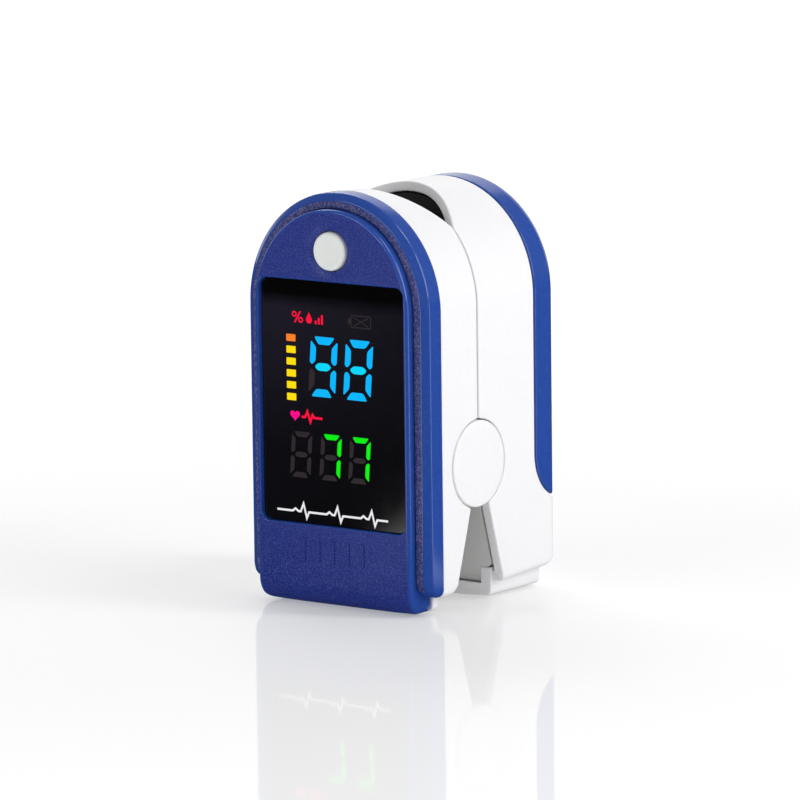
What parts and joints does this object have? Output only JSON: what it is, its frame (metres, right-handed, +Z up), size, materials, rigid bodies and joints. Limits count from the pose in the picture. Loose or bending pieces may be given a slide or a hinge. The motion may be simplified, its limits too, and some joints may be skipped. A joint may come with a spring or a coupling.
{
  "type": "fingertip pulse oximeter",
  "caption": "Clip-on fingertip pulse oximeter: two sprung half shells on one hinge, arched finger mouth at the top, lit display and power button on the front.",
  "frame": {"origin": "middle of the underside, on the surface that the clip stands on", "axes": "+Z up towards the finger opening, display faces -Y, hinge axis along X"},
  "size_m": [0.031, 0.0332, 0.0583],
  "materials": {
    "blue_plastic": "satin, fine spark-eroded grain",
    "white_plastic": "smooth satin",
    "button_plastic": "smooth satin",
    "inner_plastic": "fine matte",
    "window_plastic": "polished, smoked",
    "display_light": "dark face with lit segments",
    "lens_plastic": "polished tinted",
    "silicone": "soft matte",
    "black_plastic": "moulded matte",
    "circuit_board": "solder mask",
    "cell_jacket": "printed film",
    "copper_film": "polyimide film",
    "contact_metal": "nickel plated",
    "steel": "plain"
  },
  "bodies": {
    "rear_half": {"rear_shell": "white_plastic", "rear_cradle": "inner_plastic", "rear_finger_pad": "silicone", "sensor_window": "lens_plastic", "photodiode": "black_plastic", "battery_1": "cell_jacket", "battery_2": "cell_jacket", "contact_spring_1": "contact_metal", "contact_spring_2": "contact_metal", "contact_plate_1": "contact_metal", "contact_plate_2": "contact_metal", "hinge_pin": "steel", "hinge_cap_left": "white_plastic", "hinge_cap_right": "white_plastic", "torsion_spring": "steel", "flex_cable": "copper_film", "rear_screw_1": "steel", "rear_screw_2": "steel", "rear_screw_3": "steel", "rear_screw_4": "steel"},
    "front_half": {"front_cover": "blue_plastic", "display_window": "window_plastic", "button_switch": "black_plastic", "led_display": "display_light", "main_board": "circuit_board", "controller_chip": "black_plastic", "front_shell": "white_plastic", "front_cradle": "inner_plastic", "front_finger_pad": "silicone", "emitter_window": "lens_plastic", "led_emitter": "black_plastic", "front_screw_1": "steel", "front_screw_2": "steel", "front_screw_3": "steel", "front_screw_4": "steel"},
    "power_button": {"power_button": "button_plastic"},
    "battery_door": {"battery_cover": "blue_plastic"}
  },
  "joints": [
    {"name": "clip_hinge", "type": "hinge", "parent": "rear_half", "child": "front_half", "pos_m": [0, -0.00267, 0.0201], "axis": [1, 0, 0], "range_deg": [0, 26], "stiffness_Nm_per_rad": 0.13, "springref_deg": -25.78, "deforming": ["torsion_spring", "flex_cable"]},
    {"name": "button_press", "type": "slide", "parent": "front_half", "child": "power_button", "axis": [0, 1, 0], "range_m": [0, 0.0005], "stiffness_N_per_m": 1500, "springref_m": -0.0003},
    {"name": "battery_cover_slide", "type": "slide", "parent": "rear_half", "child": "battery_door", "axis": [0, 0, 1], "range_m": [0, 0.045]}
  ]
}
